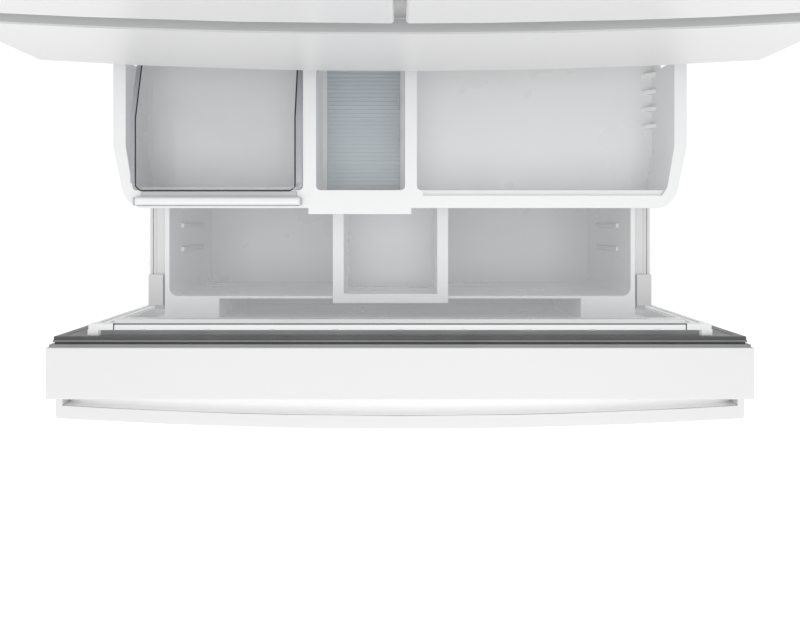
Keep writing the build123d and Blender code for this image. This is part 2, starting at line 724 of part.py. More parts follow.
def condenser():
    """Finned block on its stand, with the fan's shroud."""
    core = block(90, 400, 480, 620, 92, 200)
    for index in range(30):
        x = 96 + index * 10
        core -= block(x, x + 6, 479, 621, 100, 201)
    core += block(84, 404, 490, 610, 88, 100)
    ring = block(20, 32, 455, 635, FOAM_BOTTOM, 260)
    ring -= rod((19, 545, 165), "x", 82, 14)
    hub = block(22, 26, 541, 549, 82, 248)
    hub += rod((20, 545, 165), "x", 14, 8)
    stand = block(84, 404, 500, 504, 74, 90) + block(84, 404, 596, 600, 74, 90)
    return group(core + stand, ring + hub)


def fan(radius, hub_r, depth, blades=5):
    """Axial fan about +Z, hub at the origin."""
    wheel = Cylinder(hub_r, depth, align=(Align.CENTER, Align.CENTER, Align.MIN))
    for index in range(blades):
        blade = Pos((hub_r + radius) / 2 - 1, 0, depth / 2) * Rot(28, 0, 0) * Box(
            radius - hub_r + 2, hub_r * 1.5, 1.6)
        wheel += Rot(0, 0, index * 360 / blades) * blade
    return wheel


def condenser_fan():
    return Pos(-3, 545, 165) * Rot(0, 90, 0) * fan(76, 18, 18)


def drain_pan():
    return tray(84, 404, 480, 620, FOAM_BOTTOM, FOAM_BOTTOM + 12, 1.5)


def evaporator():
    """Finned coil behind the freezer's rear cover."""
    coil = block(-300, 300, 446, 506, 345, 349)
    for index in range(31):
        x = -300 + index * 20
        coil += block(x - 0.5, x + 0.5, 446, 506, 345, 422)
    for y in (458, 476, 494):
        for z in (365, 390, 415):
            coil += rod((-320, y, z), "x", 4, 640)
    coil += block(-326, -318, 446, 506, 345, 422)
    coil += block(318, 326, 446, 506, 345, 422)
    for side in (-1, 1):
        x0, x1 = sorted((side * 324, side * CAVITY_HALF))
        coil += block(x0, x1, 466, 486, 385, 395)
    return coil


def evaporator_cover():
    """Freezer rear wall with air slots and the fan's opening."""
    y0 = 425.0
    cover = block(-CAVITY_HALF, CAVITY_HALF, y0, y0 + 4, FREEZER_STEP[1], FREEZER_Z[1])
    cover -= rod((0, y0 - 1, 485), "y", 56, 6)
    cover += rod((0, y0, 485), "y", 60, 30) - rod((0, y0 - 1, 485), "y", 56, 40)
    spider = block(-58, 58, y0 + 24, y0 + 28, 481, 489) + rod((0, y0 + 24, 485), "y", 12, 6)
    for side in (-1, 1):
        for index in range(8):
            z = 350 + index * 12
            x0, x1 = sorted((side * 120, side * 360))
            cover -= block(x0, x1, y0 - 1, y0 + 5, z, z + 5)
    return cover + spider


def evaporator_fan():
    return Pos(0, 448.5, 485) * Rot(90, 0, 0) * fan(52, 14, 18)


def ice_maker():
    """Ice mould and motor box, hung from the freezer's ceiling at the rear left."""
    body = soft_block(-356, -248, 190, 300, 466, 536, 3)
    body += block(-340, -262, 205, 285, 534, FREEZER_Z[1])
    body -= rod((-256, 235, 500), "x", 4 + BORE_CLEARANCE, 20)
    return body


def ice_level_arm():
    """Wire arm that feels the height of the ice."""
    arm = rod((-255, 235, 500), "x", 4, 14)
    arm += block(-245, -241, 231, 239, 468, 504)
    arm += block(-245, -241, 150, 239, 466, 472)
    return arm


NODES = [
    case_wrapper, back_panel, base_frame, cabinet_foam, fridge_liner, middle_liner,
    freezer_liner, mullion_plates, machine_cover, toe_grille, door_hinges, hinge_covers,
    glass_shelves, shelf_frames, left_crisper, right_crisper, air_duct, evaporator,
    evaporator_cover, compressor, condenser, drain_pan, ice_maker, control_panel, light_lens,
    levelling_legs, freezer_slide_tracks, middle_slide_tracks, basket_tracks,
    left_door_skin, left_door_liner, left_door_gasket, left_door_bins,
    right_door_skin, right_door_liner, right_door_gasket, right_door_bins, mullion_flap,
    middle_drawer_skin, middle_drawer_liner, middle_drawer_gasket, middle_drawer_bin,
    middle_drawer_rails,
    middle_slide_members, freezer_door_skin, freezer_door_liner, freezer_door_gasket,
    freezer_rails, lower_basket, basket_tray, freezer_slide_members, upper_basket,
    basket_floor, ice_bin, evaporator_fan, condenser_fan, ice_level_arm, temp_button,
    front_rollers, rear_rollers,
]

os.makedirs("parts", exist_ok=True)
for make in NODES:
    export_step(make(), f"parts/{make.__name__}.step")
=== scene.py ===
"""Looks of the french door refrigerator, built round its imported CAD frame. Metres, +Z up, front -Y."""
import json
import math

import bmesh
import bpy
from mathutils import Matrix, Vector


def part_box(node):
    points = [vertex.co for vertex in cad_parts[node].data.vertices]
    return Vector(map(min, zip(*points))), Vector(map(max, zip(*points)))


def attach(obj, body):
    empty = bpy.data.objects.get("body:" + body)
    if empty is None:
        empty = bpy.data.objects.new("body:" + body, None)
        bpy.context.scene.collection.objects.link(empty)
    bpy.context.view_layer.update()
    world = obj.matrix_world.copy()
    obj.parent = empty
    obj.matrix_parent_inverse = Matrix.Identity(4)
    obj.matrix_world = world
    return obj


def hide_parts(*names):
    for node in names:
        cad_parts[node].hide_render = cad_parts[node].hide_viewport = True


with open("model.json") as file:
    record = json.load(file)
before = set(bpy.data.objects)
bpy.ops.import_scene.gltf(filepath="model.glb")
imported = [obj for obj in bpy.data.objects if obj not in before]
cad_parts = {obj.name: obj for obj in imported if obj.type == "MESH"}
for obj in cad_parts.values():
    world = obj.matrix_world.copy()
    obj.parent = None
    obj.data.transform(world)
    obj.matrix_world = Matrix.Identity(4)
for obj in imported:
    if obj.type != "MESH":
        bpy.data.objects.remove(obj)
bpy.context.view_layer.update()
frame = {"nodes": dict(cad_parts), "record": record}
MM = 0.001


# ---- places read from the frame ------------------------------------------------------

class Span:
    """The box of a CAD node at rest, in millimetres."""

    def __init__(self, node):
        low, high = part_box(node)
        self.x0, self.y0, self.z0 = [value / MM for value in low]
        self.x1, self.y1, self.z1 = [value / MM for value in high]


SLAB = Span("freezer_door_skin")
SHUT = Span("middle_drawer_skin")
PANEL = Span("freezer_door_liner")
UPPER = Span("upper_basket")
LOWER = Span("lower_basket")
ICE_BIN = Span("ice_bin")
CLEAR_FLOOR = Span("basket_floor")
RAILS = Span("freezer_rails")
CASE = Span("case_wrapper")

FRONT_BOW = 14.0                 # the fronts bow out by this many millimetres
BOW_STEPS = 20                   # straight stretches in each half of a bowed piece
LIP_DROP = 34.6                  # a drawer's lip ends this far below the top of its front
LIP_THICK = 17.0
POCKET_DEPTH = 26.0              # of the pocket handle behind the lip
POCKET_HALF = 442.6              # half its width
FACE_BEHIND_LIP = 45.5           # from the lip's crown back to the upright face behind it
PANEL_DROP = 20.0                # the freezer's inner panel ends this far below its front
PANEL_HALF = 370.0               # half the width of the rail along that panel's top
BASKET_CORNER = 9.0              # radius of the upper basket's front corners
SHELF_LEVELS = (1092.0, 1290.0, 1480.0)
LEDGE_LEVELS = (1092.0, 1180.0, 1290.0, 1385.0, 1480.0, 1580.0)
DOOR_BINS = 3
DOOR_BIN_STEP = 270.0            # from one door bin up to the next
COMPRESSOR_PLACE = (-270.0, 555.0)
COMPRESSOR_GIRTH = 78.8          # radius just outside the can
CAD_SHARP = 30.0                 # degrees of turn at which a CAD node's edge is rounded
PIECE_SHARP = 32.0               # and at which an edge of a piece made here is


# ---- camera, light and floor ---------------------------------------------------------

CAMERA_ABOVE_SLAB = 1.133        # the view is straight down from this height
CAMERA_BEFORE_DOORS = 0.18875    # and this far in front of the shut doors' crown


def place_camera():
    data = bpy.data.cameras.new("camera")
    data.lens = 40.0
    data.sensor_width = 36.0
    data.shift_y = -0.11
    data.clip_start = 0.02
    data.clip_end = 60.0
    camera = bpy.data.objects.new("camera", data)
    camera.location = (0.0, SHUT.y0 * MM - CAMERA_BEFORE_DOORS,
                       SLAB.z1 * MM + CAMERA_ABOVE_SLAB)
    bpy.context.scene.collection.objects.link(camera)
    bpy.context.scene.camera = camera


def area_light(name, place, target, size, power):
    data = bpy.data.lights.new(name, "AREA")
    data.shape = "SQUARE"
    data.size = size
    data.energy = power
    light = bpy.data.objects.new(name, data)
    light.location = place
    aim = Vector(target) - Vector(place)
    light.rotation_euler = aim.to_track_quat("-Z", "Y").to_euler()
    bpy.context.scene.collection.objects.link(light)


def place_lights():
    world = bpy.data.worlds.new("studio")
    world.use_nodes = True
    background = world.node_tree.nodes["Background"]
    background.inputs["Color"].default_value = (1.0, 1.0, 1.0, 1.0)
    background.inputs["Strength"].default_value = 0.87
    bpy.context.scene.world = world
    area_light("overhead", (0.0, -1.0, 3.6), (0.0, -0.35, 0.6), 2.4, 34.0)
    area_light("front_left", (-2.2, -3.0, 1.6), (0.0, -0.2, 0.9), 2.2, 12.0)
    area_light("front_right", (2.2, -3.0, 1.6), (0.0, -0.2, 0.9), 2.2, 12.0)
    bpy.context.scene.view_settings.view_transform = "Standard"


def place_floor():
    mesh = bpy.data.meshes.new("studio_floor")
    half = 9.0
    corners = [(-half, -half, 0), (half, -half, 0), (half, half, 0), (-half, half, 0)]
    mesh.from_pydata(corners, [], [(0, 1, 2, 3)])
    floor = bpy.data.objects.new("studio_floor", mesh)
    bpy.context.scene.collection.objects.link(floor)
    mesh.materials.append(floor_paint())


# ---- materials -----------------------------------------------------------------------

def new_material(name):
    """An empty node material, its Principled shader and a function that adds nodes."""
    material = bpy.data.materials.new(name)
    material.use_nodes = True
    tree = material.node_tree
    shader = tree.nodes["Principled BSDF"]
    return material, tree, shader


def noise_node(tree, scale, detail, stretch):
    """Noise in object space, in cycles per metre, with an optional stretch per axis."""
    coords = tree.nodes.new("ShaderNodeTexCoord")
    mapping = tree.nodes.new("ShaderNodeMapping")
    mapping.inputs["Scale"].default_value = stretch or (1.0, 1.0, 1.0)
    noise = tree.nodes.new("ShaderNodeTexNoise")
    noise.inputs["Scale"].default_value = scale
    noise.inputs["Detail"].default_value = detail
    tree.links.new(coords.outputs["Object"], mapping.inputs["Vector"])
    tree.links.new(mapping.outputs["Vector"], noise.inputs["Vector"])
    return noise


def tint(tree, shader, low, high, scale, stretch=None):
    """Base colour that drifts between two near shades."""
    noise = noise_node(tree, scale, 3.0, stretch)
    ramp = tree.nodes.new("ShaderNodeValToRGB")
    ramp.color_ramp.elements[0].position = 0.3
    ramp.color_ramp.elements[1].position = 0.7
    ramp.color_ramp.elements[0].color = (*low, 1.0)
    ramp.color_ramp.elements[1].color = (*high, 1.0)
    tree.links.new(noise.outputs["Fac"], ramp.inputs["Fac"])
    tree.links.new(ramp.outputs["Color"], shader.inputs["Base Color"])


def gloss(tree, shader, low, high, scale, stretch=None):
    """Roughness that varies a little over the surface."""
    noise = noise_node(tree, scale, 3.0, stretch)
    span = tree.nodes.new("ShaderNodeMapRange")
    span.inputs["From Min"].default_value = 0.3
    span.inputs["From Max"].default_value = 0.7
    span.inputs["To Min"].default_value = low
    span.inputs["To Max"].default_value = high
    tree.links.new(noise.outputs["Fac"], span.inputs["Value"])
    tree.links.new(span.outputs["Result"], shader.inputs["Roughness"])


def grain(tree, shader, scale, strength, distance, detail=2.0, stretch=None):
    """Fine relief: orange peel, moulding grain or brushing."""
    noise = noise_node(tree, scale, detail, stretch)
    bump = tree.nodes.new("ShaderNodeBump")
    bump.inputs["Strength"].default_value = strength
    bump.inputs["Distance"].default_value = distance
    tree.links.new(noise.outputs["Fac"], bump.inputs["Height"])
    tree.links.new(bump.outputs["Normal"], shader.inputs["Normal"])


def floor_paint():
    material, tree, shader = new_material("floor_paint")
    tint(tree, shader, (0.93, 0.93, 0.93), (0.96, 0.96, 0.96), 0.7)
    gloss(tree, shader, 0.8, 0.9, 2.0)
    shader.inputs["Emission Color"].default_value = (1.0, 1.0, 1.0, 1.0)
    shader.inputs["Emission Strength"].default_value = 0.15
    return material


def gloss_white_paint():
    """Baked white enamel with a faint orange peel."""
    material, tree, shader = new_material("gloss_white_paint")
    tint(tree, shader, (0.7, 0.7, 0.705), (0.72, 0.72, 0.72), 1.3)
    gloss(tree, shader, 0.34, 0.42, 3.0)
    grain(tree, shader, 420.0, 0.06, 0.0004)
    shader.inputs["Specular IOR Level"].default_value = 0.3
    shader.inputs["Coat Weight"].default_value = 0.06
    shader.inputs["Coat Roughness"].default_value = 0.18
    return material


def textured_case_paint():
    """Pebbled white paint of the case's sides and top."""
    material, tree, shader = new_material("textured_case_paint")
    tint(tree, shader, (0.72, 0.72, 0.725), (0.75, 0.75, 0.75), 2.0)
    gloss(tree, shader, 0.38, 0.5, 6.0)
    grain(tree, shader, 700.0, 0.35, 0.0006, 3.0)
    return material


def galvanised_steel():
    material, tree, shader = new_material("galvanised_steel")
    tint(tree, shader, (0.56, 0.57, 0.585), (0.66, 0.67, 0.68), 40.0)
    gloss(tree, shader, 0.32, 0.55, 34.0)
    grain(tree, shader, 180.0, 0.08, 0.0004)
    shader.inputs["Metallic"].default_value = 1.0
    return material


def zinc_plated_steel():
    material, tree, shader = new_material("zinc_plated_steel")
    tint(tree, shader, (0.66, 0.67, 0.68), (0.78, 0.78, 0.79), 9.0, (1.0, 0.12, 1.0))
    gloss(tree, shader, 0.24, 0.4, 60.0, (1.0, 0.05, 1.0))
    grain(tree, shader, 900.0, 0.12, 0.0002, 2.0, (1.0, 0.03, 1.0))
    shader.inputs["Metallic"].default_value = 1.0
    return material


def insulation_foam():
    material, tree, shader = new_material("insulation_foam")
    tint(tree, shader, (0.7, 0.6, 0.33), (0.82, 0.73, 0.46), 40.0)
    gloss(tree, shader, 0.85, 0.95, 50.0)
    grain(tree, shader, 600.0, 0.6, 0.001, 4.0)
    return material


def white_liner_plastic():
    """Vacuum-formed white polystyrene with a soft sheen, and a faint emission that is painted light
    brightening the shaded inside of the cabinet.
    """
    material, tree, shader = new_material("white_liner_plastic")
    tint(tree, shader, (0.74, 0.745, 0.75), (0.76, 0.765, 0.77), 2.2)
    gloss(tree, shader, 0.28, 0.38, 7.0)
    grain(tree, shader, 260.0, 0.07, 0.0004)
    # faint emission: painted light that lifts the shaded interior
    shader.inputs["Emission Color"].default_value = (1.0, 1.0, 1.0, 1.0)
    shader.inputs["Emission Strength"].default_value = 0.04
    return material


def white_basket_plastic():
    """Injection-moulded white plastic with a faint emission: painted light that lifts its shaded walls.
    """
    material, tree, shader = new_material("white_basket_plastic")
    tint(tree, shader, (0.676, 0.68, 0.684), (0.684, 0.687, 0.69), 3.0)
    gloss(tree, shader, 0.26, 0.36, 9.0)
    grain(tree, shader, 520.0, 0.05, 0.0003)
    # emission: painted light that brightens the baskets' shaded walls
    shader.inputs["Emission Color"].default_value = (0.98, 0.99, 1.0, 1.0)
    shader.inputs["Emission Strength"].default_value = 0.1
    return material


def satin_plastic(name, low, high):
    """Plain moulded plastic or powder coat with a fine grain."""
    material, tree, shader = new_material(name)
    tint(tree, shader, low, high, 4.0)
    gloss(tree, shader, 0.35, 0.45, 12.0)
    grain(tree, shader, 800.0, 0.1, 0.0003)
    return material


def clear_plastic(name, low, high, alpha):
    """Clear styrene seen as a thin tinted film."""
    material, tree, shader = new_material(name)
    tint(tree, shader, low, high, 4.0)
    gloss(tree, shader, 0.05, 0.12, 8.0)
    grain(tree, shader, 90.0, 0.03, 0.0004)
    shader.inputs["Alpha"].default_value = alpha
    shader.inputs["IOR"].default_value = 1.5
    return material


def shelf_glass():
    return clear_plastic("shelf_glass", (0.72, 0.82, 0.8), (0.78, 0.86, 0.84), 0.22)


def dark_moulded_plastic():
    material, tree, shader = new_material("dark_moulded_plastic")
    tint(tree, shader, (0.16, 0.165, 0.17), (0.22, 0.225, 0.23), 8.0)
    gloss(tree, shader, 0.45, 0.6, 20.0)
    grain(tree, shader, 900.0, 0.3, 0.0004, 3.0)
    return material


def gasket_rubber(name="gasket_rubber", low=(0.05, 0.05, 0.053), high=(0.07, 0.07, 0.073)):
    material, tree, shader = new_material(name)
    tint(tree, shader, low, high, 12.0)
    gloss(tree, shader, 0.5, 0.65, 30.0)
    grain(tree, shader, 1100.0, 0.15, 0.0003)
    shader.inputs["Sheen Weight"].default_value = 0.2
    return material


def mill_aluminium():
    material, tree, shader = new_material("mill_aluminium")
    tint(tree, shader, (0.74, 0.75, 0.76), (0.86, 0.86, 0.87), 30.0, (0.2, 1.0, 1.0))
    gloss(tree, shader, 0.25, 0.42, 50.0)
    grain(tree, shader, 500.0, 0.1, 0.0003)
    shader.inputs["Metallic"].default_value = 1.0
    return material


def black_enamel():
    material, tree, shader = new_material("black_enamel")
    tint(tree, shader, (0.018, 0.018, 0.02), (0.03, 0.03, 0.032), 12.0)
    gloss(tree, shader, 0.22, 0.4, 16.0)
    grain(tree, shader, 350.0, 0.1, 0.0005)
    return material


def bright_wire():
    material, tree, shader = new_material("bright_wire")
    tint(tree, shader, (0.75, 0.75, 0.76), (0.85, 0.85, 0.86), 60.0)
    gloss(tree, shader, 0.12, 0.22, 80.0)
    shader.inputs["Metallic"].default_value = 1.0
    return material


def copper_pipe():
    material, tree, shader = new_material("copper_pipe")
    tint(tree, shader, (0.72, 0.36, 0.22), (0.85, 0.47, 0.3), 30.0)
    gloss(tree, shader, 0.2, 0.4, 40.0)
    shader.inputs["Metallic"].default_value = 1.0
    return material


MATERIALS = {
    "white_steel": gloss_white_paint(),
    "case_paint": textured_case_paint(),
    "plain_steel": galvanised_steel(),
    "zinc_steel": zinc_plated_steel(),
    "foam": insulation_foam(),
    "liner_plastic": white_liner_plastic(),
    "basket_plastic": white_basket_plastic(),
    "clear_plastic": clear_plastic("clear_styrene", (0.84, 0.86, 0.88), (0.9, 0.91, 0.93), 0.2),
    "shelf_glass": shelf_glass(),
    "grey_plastic": dark_moulded_plastic(),
    "gasket_rubber": gasket_rubber(),
    "coil_aluminium": mill_aluminium(),
    "black_paint": black_enamel(),
    "wire_steel": bright_wire(),
}
SLOT_OF = {row["node"]: row["material_slot"] for row in frame["record"]["subparts"]}
BODY_OF = {node: body for body, nodes in frame["record"]["behaviour"]["bodies"].items()
           for node in nodes}


# ---- mesh helpers --------------------------------------------------------------------

def add_piece(name, mesh, body, slot_name, material, *nodes):
    """Link a finished mesh, ride it on a body and let it stand for some CAD nodes.

    With no material of its own it gets the one of its slot.
    """
    piece = bpy.data.objects.new(name, mesh)
    bpy.context.scene.collection.objects.link(piece)
    mesh.materials.clear()
    mesh.materials.append(material or MATERIALS[slot_name])
    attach(piece, body)
    if nodes:
        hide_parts(*nodes)
    return piece


def weighted(piece):
    """Smooth shading that keeps flat faces flat."""
    piece.data.shade_smooth()
    modifier = piece.modifiers.new("weighted", "WEIGHTED_NORMAL")
    modifier.weight = 100
    modifier.keep_sharp = True


def front_corners(shape):
    """The upright outer edges at the upper basket's two front corners."""
    near = (UPPER.y0 + 34) * MM
    outer = 330 * MM
    shortest = 5 * MM
    return [edge for edge in shape.edges
            if all(vert.co.y < near and abs(vert.co.x) > outer for vert in edge.verts)
            and abs(edge.verts[0].co.z - edge.verts[1].co.z) > shortest
            and edge.is_manifold and edge.is_convex]


def round_edges(shape, width, angle):
    """Round by width millimetres every edge that turns by more than angle degrees."""
    sharp = [edge for edge in shape.edges
             if edge.is_manifold and edge.calc_face_angle(0.0) > math.radians(angle)]
    bmesh.ops.bevel(shape, geom=sharp, offset=width * MM, segments=2, profile=0.5,
                    affect="EDGES", clamp_overlap=True)


def refine(node, width):
    """A copy of a CAD node with its sharp edges rounded by width millimetres."""
    mesh = frame["nodes"][node].data.copy()
    mesh.name = node + "_rounded"
    shape = bmesh.new()
    shape.from_mesh(mesh)
    bmesh.ops.remove_doubles(shape, verts=shape.verts, dist=1e-6)
    bmesh.ops.dissolve_limit(shape, angle_limit=math.radians(0.6), verts=shape.verts,
                             edges=shape.edges)
    if node == "upper_basket":
        bmesh.ops.bevel(shape, geom=front_corners(shape), offset=BASKET_CORNER * MM, segments=6,
                        profile=0.5, affect="EDGES", clamp_overlap=True)
    round_edges(shape, width, CAD_SHARP)
    shape.to_mesh(mesh)
    shape.free()
    if mesh.attributes.get("custom_normal"):
        mesh.attributes.remove(mesh.attributes["custom_normal"])
    weighted(add_piece(node + "_rounded", mesh, BODY_OF[node], SLOT_OF[node], None, node))


class Shape:
    """Collects solids given in millimetres into one mesh."""

    def __init__(self):
        self.mesh = bmesh.new()

    def prism(self, outline, axis, low, high):
        """A polygon pushed along an axis. Its pairs are the two other axes in their order."""
        order = {"x": (2, 0, 1), "y": (0, 2, 1), "z": (0, 1, 2)}[axis]
        rings = []
        for place in (low, high):
            points = [(u, v, place) for u, v in outline]
            rings.append([self.mesh.verts.new(Vector([point[k] for k in order]) * MM)
                          for point in points])
        self.mesh.faces.new(rings[0])
        self.mesh.faces.new(rings[1])
        for k, corner in enumerate(rings[0]):
            self.mesh.faces.new((rings[0][k - 1], corner, rings[1][k], rings[1][k - 1]))

    def box(self, x0, x1, y0, y1, z0, z1):
        self.prism([(x0, y0), (x1, y0), (x1, y1), (x0, y1)], "z", z0, z1)

    def side_box(self, side, near, far, y0, y1, z0, z1):
        """A box on one side of the middle, from near to far outwards; side is -1 or 1."""
        x0, x1 = sorted((side * near, side * far))
        self.box(x0, x1, y0, y1, z0, z1)

    def ring(self, x0, x1, y0, y1, z0, z1, band):
        """An upright rectangular ring that faces the front."""
        self.box(x0, x1, y0, y1, z1 - band, z1)
        self.box(x0, x1, y0, y1, z0, z0 + band)
        self.box(x0, x0 + band, y0, y1, z0 + band, z1 - band)
        self.box(x1 - band, x1, y0, y1, z0 + band, z1 - band)

    def tube(self, points, radius, sides=12):
        """A round bar along a path of points, closed at its ends."""
        path = [Vector(point) for point in points]
        rings = []
        side = None
        for k, point in enumerate(path):
            ahead = path[min(k + 1, len(path) - 1)] - path[max(k - 1, 0)]
            ahead.normalize()
            if side is None:
                side = ahead.orthogonal()
            side = (side - ahead * side.dot(ahead)).normalized()
            up = ahead.cross(side)
            rings.append([self.mesh.verts.new(
                (point + radius * (side * math.cos(turn) + up * math.sin(turn))) * MM)
                for turn in [math.tau * n / sides for n in range(sides)]])
        for near, far in zip(rings, rings[1:]):
            for n in range(sides):
                self.mesh.faces.new((near[n - 1], near[n], far[n], far[n - 1]))
        self.mesh.faces.new(rings[0])
        self.mesh.faces.new(rings[-1])

    def loft(self, rings):
        """Skin a row of rings, each the same number of points, and close both ends."""
        rings = [[self.mesh.verts.new(Vector(point) * MM) for point in ring] for ring in rings]
        for near, far in zip(rings, rings[1:]):
            for n in range(len(near)):
                self.mesh.faces.new((near[n - 1], near[n], far[n], far[n - 1]))
        self.mesh.faces.new(rings[0])
        self.mesh.faces.new(rings[-1])

    def screw(self, x, y, z, axis, way, radius=4.0):
        """A pan-head screw with a recessed centre; way is 1 or -1 along the axis."""
        step = {"x": Vector((1, 0, 0)), "y": Vector((0, 1, 0)), "z": Vector((0, 0, 1))}[axis]
        base = Vector((x, y, z))
        self.tube([base, base + step * way * 1.2], radius, 16)
        self.tube([base + step * way * 1.0, base + step * way * 1.9], radius * 0.62, 12)

    def piece(self, name, body, slot_name, width=0.4, material=None, nodes=()):
        """Round the sharp edges by width millimetres and make the mesh a piece."""
        shape = self.mesh
        bmesh.ops.recalc_face_normals(shape, faces=shape.faces)
        if width:
            round_edges(shape, width, PIECE_SHARP)
        mesh = bpy.data.meshes.new(name)
        shape.to_mesh(mesh)
        shape.free()
        weighted(add_piece(name, mesh, body, slot_name, material, *nodes))


def rounded_path(points, radius, steps=5):
    """The same path with its inner corners turned on a radius."""
    path = [Vector(points[0])]
    for before, corner, after in zip(points, points[1:], points[2:]):
        corner = Vector(corner)
        start = corner + (Vector(before) - corner).normalized() * radius
        end = corner + (Vector(after) - corner).normalized() * radius
        for k in range(steps + 1):
            t = k / steps
            path.append(start * (1 - t) ** 2 + corner * 2 * t * (1 - t) + end * t ** 2)
    path.append(Vector(points[-1]))
    return path


# ---- freezer drawer ------------------------------------------------------------------

def door_seal(node):
    """Magnetic seal: a dark bulb, a bellows rib in lighter rubber that paints the highlight on its
    crest, and a grey edge at the door.
    """
    body = BODY_OF[node]
    span = Span(node)
    bulb = Shape()
    bulb.ring(span.x0 + 2, span.x1 - 2, span.y0 + 1, span.y1 - 3.6, span.z0 + 2, span.z1 - 2,
              10.5)
    bulb.ring(span.x0 + 1, span.x1 - 1, span.y1 - 4.6, span.y1, span.z0 + 1, span.z1 - 1, 12)
    bulb.piece(node + "_bulb", body, "gasket_rubber", 0.6, None, (node,))
    rib = Shape()
    rib.ring(span.x0, span.x1, span.y0 + 4.2, span.y0 + 6.8, span.z0, span.z1, 3)
    rib.piece(node + "_rib", body, "gasket_rubber", 0.7, RIB_HIGHLIGHT_RUBBER)
    edge = Shape()
    edge.ring(span.x0 - 3, span.x1 + 3, span.y0 - 2.6, span.y0 + 1.9, span.z0 - 3,
              span.z1 + 4.4, 5)
    edge.piece(node + "_edge", body, "gasket_rubber", 0.7, EDGE_RUBBER)


def bowed(half, x):
    """How far a front of that half width, bowed by FRONT_BOW, falls back at x."""
    radius = (half ** 2 + FRONT_BOW ** 2) / (2 * FRONT_BOW)
    return radius - math.sqrt(radius ** 2 - x ** 2)


def pocket_lining(name, node):
    """Lining of a drawer's pocket handle, coved at the foot of its lip, in a brighter white than the
    front: painted light that keeps the recess out of shade.
    """
    span = Span(node)
    top = span.z1 - LIP_DROP
    floor = top - POCKET_DEPTH
    slab_face = span.y0 + FACE_BEHIND_LIP
    rings = []
    for k in range(2 * BOW_STEPS + 1):
        x = POCKET_HALF * (k / BOW_STEPS - 1)
        inner = span.y0 + LIP_THICK + bowed(span.x1, x)
        cove = min(8.0, 0.5 * (slab_face - inner))
        curve = [(inner + cove * (1 - math.sin(turn)), floor + 1 + cove * (1 - math.cos(turn)))
                 for turn in [math.pi / 2 * n / 6 for n in range(6, -1, -1)]]
        outline = [(inner - 0.3, top - 1.6), (inner + 0.7, top - 1.6)]
        outline += [(max(y, inner + 0.7), z) for y, z in curve]
        outline += [(slab_face - 0.7, floor + 1), (slab_face - 0.7, top - 1.6),
                    (slab_face + 0.2, top - 1.6), (slab_face + 0.2, floor - 0.4),
                    (inner - 0.3, floor - 0.4)]
        rings.append([(x, y, z) for y, z in outline])
    lining = Shape()
    lining.loft(rings)
    lining.piece(name, BODY_OF[node], "white_steel", 0.0, PAINTED_LIGHT_WHITE)


def middle_lip_shade_strip():
    """Grey strip along the top of the middle drawer's lip, bowed like the front: painted shade cast by
    the shut doors above it.
    """
    top = SHUT.z1 - LIP_DROP
    rings = []
    for k in range(2 * BOW_STEPS + 1):
        x = (SHUT.x1 - 3.5) * (k / BOW_STEPS - 1)
        front = SHUT.y0 + 2.2 + bowed(SHUT.x1, x)
        rings.append([(x, front, top - 0.4), (x, front + 0.6, top + 0.7),
                      (x, front + 13.0, top + 0.7), (x, front + 13.6, top - 0.4)])
    strip = Shape()
    strip.loft(rings)
    strip.piece("middle_lip_shade_strip", "middle_drawer", "white_steel", 0.0, LIP_SHADE_GREY)


def freezer_panel():
    """The drawer's inner panel: rail, clip strip, black lines in its joints that paint the shade in the
    gaps, the seal's flap and ribs.
    """
    top = SLAB.z1 - PANEL_DROP
    back = PANEL.y1
    rail = Shape()
    rail.box(-PANEL_HALF, PANEL_HALF, back - 5.4, back + 0.4, top - 6, top + 2)
    rail.piece("panel_rail", "freezer_drawer", "liner_plastic", 0.5, PANEL_GREY)
    strip = Shape()
    strip.box(-PANEL_HALF, PANEL_HALF, back - 14, back - 6.8, top - 3, top + 3)
    for side in (-1, 1):
        strip.side_box(side, 371.4, 403.4, back - 14, back - 5.8, top - 3, top + 3)
        strip.side_box(side, 390, 404.5, back - 21.5, back - 13, top - 3, top + 3)
    strip.piece("panel_strip", "freezer_drawer", "liner_plastic", 0.7)
    clips = Shape()
    for k in range(-4, 5):
        x = 83.2 * k
        clips.tube([(x - 4, back - 13.4, top + 2.4), (x + 4, back - 13.4, top + 2.4)], 1.1, 10)
    clips.piece("panel_clips", "freezer_drawer", "liner_plastic", 0.2, PANEL_GREY)
    # black boxes in the joints and beside the seal: painted shade of the gaps and recesses
    seams = Shape()
    seams.box(-371, 371, back - 7.0, back - 5.2, top - 2, top + 1.4)
    for side in (-1, 1):
        seams.side_box(side, 369.8, 371.6, back - 13.8, back - 5.2, top - 2, top + 1.4)
        seams.side_box(side, 404, 431, back - 22.4, back - 20.8, SLAB.z0 + 25, top + 4)
    seams.box(-386, 386, back - 22.5, back - 20.8, top - 2, top + 5)
    seams.piece("panel_seam_shade", "freezer_drawer", "gasket_rubber", 0.2)
    # rubber flap on the panel's top; its dark grey is partly the rubber's own and partly painted shade
    # of the recess it lies in
    flap = Shape()
    flap.box(-388, 388, back - 21, back - 14.4, top - 2, top + 1.2)
    flap.piece("panel_flap", "freezer_drawer", "gasket_rubber", 0.4, FLAP_RUBBER_AND_SHADE)
    ribs = Shape()
    for side in (-1, 1):
        for x in (379.0, 392.0):
            ribs.side_box(side, x, x + 3, back - 8, back - 4.6, SLAB.z0 + 60, top - 16)
    ribs.piece("panel_ribs", "freezer_drawer", "liner_plastic", 0.5)


